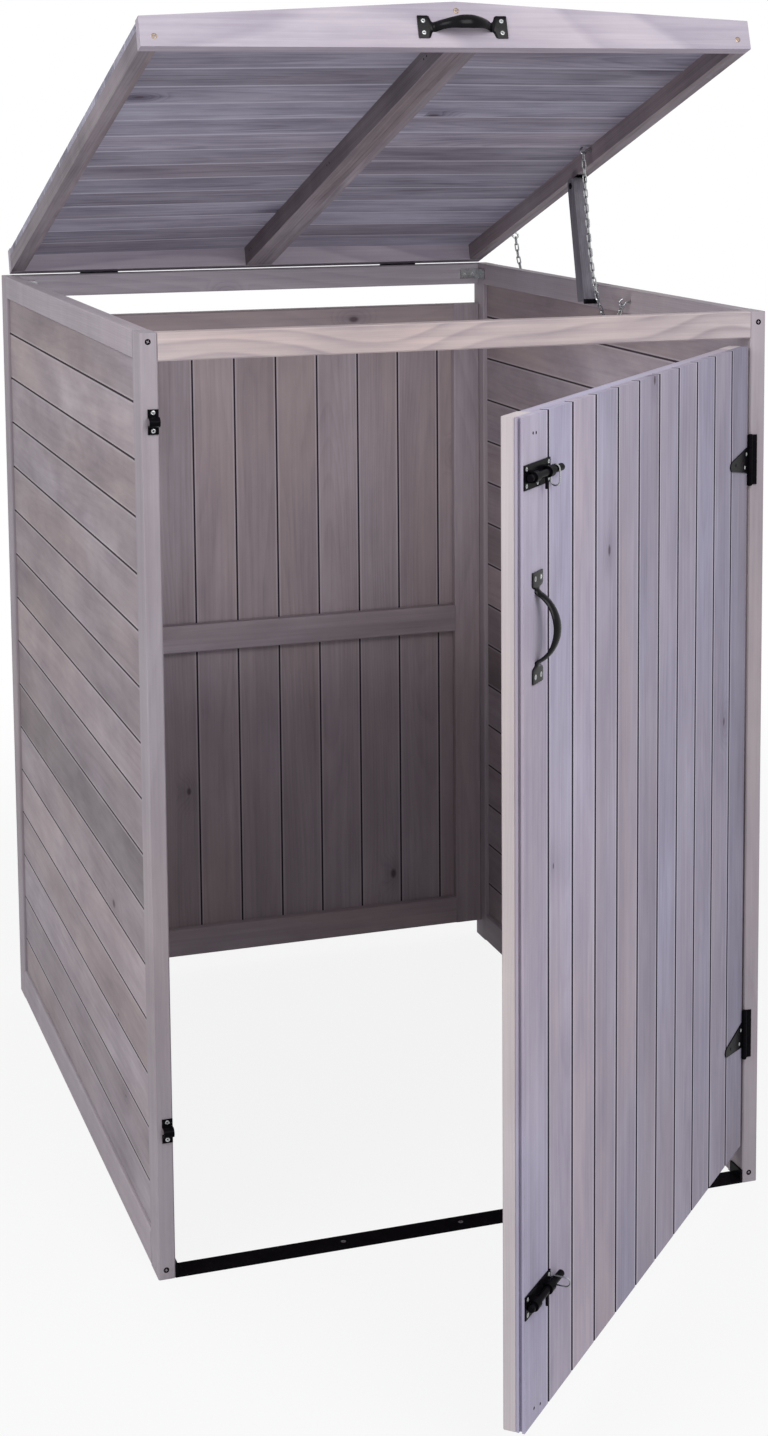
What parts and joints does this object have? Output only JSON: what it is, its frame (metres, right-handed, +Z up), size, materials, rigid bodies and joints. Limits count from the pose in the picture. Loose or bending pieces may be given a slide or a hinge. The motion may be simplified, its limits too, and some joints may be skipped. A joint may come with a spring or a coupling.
{
  "type": "wheelie bin store",
  "caption": "Boarded timber store for wheelie bins, with a side-hinged front door and a gabled lid hinged at the back that a wooden stay holds open.",
  "frame": {"origin": "on the ground, mid-width, at the middle of the threshold strip's underside; the strip is flush with the front", "axes": "+X to the right as seen from the front, +Y to the back, +Z up"},
  "size_m": [0.8283, 1.6393, 1.5533],
  "materials": {
    "painted_timber": "planed softwood posts, rails and door boards in a lilac-grey paint",
    "side_boards": "planed tongue and groove boards in a brownish grey stain",
    "lid_timber": "planed boards and rafters in a darker blue-grey paint",
    "black_steel": "pressed and bent steel in glossy black paint",
    "zinc_steel": "bright zinc plated steel wire and strip"
  },
  "bodies": {
    "store": {"front_left_post": "painted_timber", "front_right_post": "painted_timber", "back_left_post": "painted_timber", "back_right_post": "painted_timber", "left_top_rail": "painted_timber", "right_top_rail": "painted_timber", "left_bottom_rail": "painted_timber", "right_bottom_rail": "painted_timber", "left_side_boards": "side_boards", "right_side_boards": "side_boards", "front_header": "painted_timber", "back_top_rail": "painted_timber", "back_panel_boards": "side_boards", "back_panel_stiles": "side_boards", "back_panel_rails": "side_boards", "threshold_strip": "black_steel", "corner_brackets": "zinc_steel", "bolt_keepers": "black_steel", "upper_hinge_leaf": "black_steel", "lower_hinge_leaf": "black_steel", "door_hinge_pins": "black_steel", "lid_hinge_fixed_leaves": "black_steel", "lid_hinge_pins": "black_steel", "stay_peg": "black_steel", "wall_chain_hook": "zinc_steel", "outer_wall_hook": "zinc_steel", "front_chain": "zinc_steel", "rear_chain": "zinc_steel"},
    "door": {"door_boards": "painted_timber", "door_latch_stile": "painted_timber", "door_hinge_stile": "painted_timber", "door_rails": "painted_timber", "upper_hinge_strap": "black_steel", "lower_hinge_strap": "black_steel", "door_pull": "black_steel", "upper_bolt_plate": "black_steel", "lower_bolt_plate": "black_steel", "bolt_rings": "zinc_steel"},
    "upper_bolt": {"upper_bolt_rod": "black_steel"},
    "lower_bolt": {"lower_bolt_rod": "black_steel"},
    "lid": {"lid_front_fascia": "painted_timber", "lid_back_fascia": "painted_timber", "lid_left_rafter": "lid_timber", "lid_right_rafter": "lid_timber", "lid_centre_rafter": "lid_timber", "lid_second_centre_rafter": "lid_timber", "lid_left_boards": "lid_timber", "lid_right_boards": "lid_timber", "lid_handle": "black_steel", "lid_hinge_moving_leaves": "black_steel", "stay_bracket": "black_steel", "stay_pin": "black_steel", "lid_chain_hook": "zinc_steel", "rear_chain_hook": "zinc_steel"},
    "stay": {"lid_stay": "painted_timber"}
  },
  "joints": [
    {"name": "door_hinge", "type": "hinge", "parent": "store", "child": "door", "pos_m": [0.383, -0.0195, 0.6], "axis": [0, 0, 1], "range_deg": [-47.2, 62.8]},
    {"name": "upper_bolt_slide", "type": "slide", "parent": "door", "child": "upper_bolt", "axis": [-0.6794, -0.7337, 0], "range_m": [0, 0.015]},
    {"name": "lower_bolt_slide", "type": "slide", "parent": "door", "child": "lower_bolt", "axis": [-0.6794, -0.7337, 0], "range_m": [0, 0.015]},
    {"name": "lid_hinge", "type": "hinge", "parent": "store", "child": "lid", "pos_m": [0, 1.041, 1.16515], "axis": [-1, 0, 0], "range_deg": [-17.8, 6], "deforming": ["front_chain", "rear_chain"]},
    {"name": "stay_pivot", "type": "hinge", "parent": "lid", "child": "stay", "pos_m": [0.363, 0.54912, 1.308], "axis": [-1, 0, 0], "range_deg": [-86.1, 29.1]}
  ],
  "couplings": [
    {"joint": "stay_pivot", "follows": "lid_hinge", "ratio": 4.83}
  ]
}
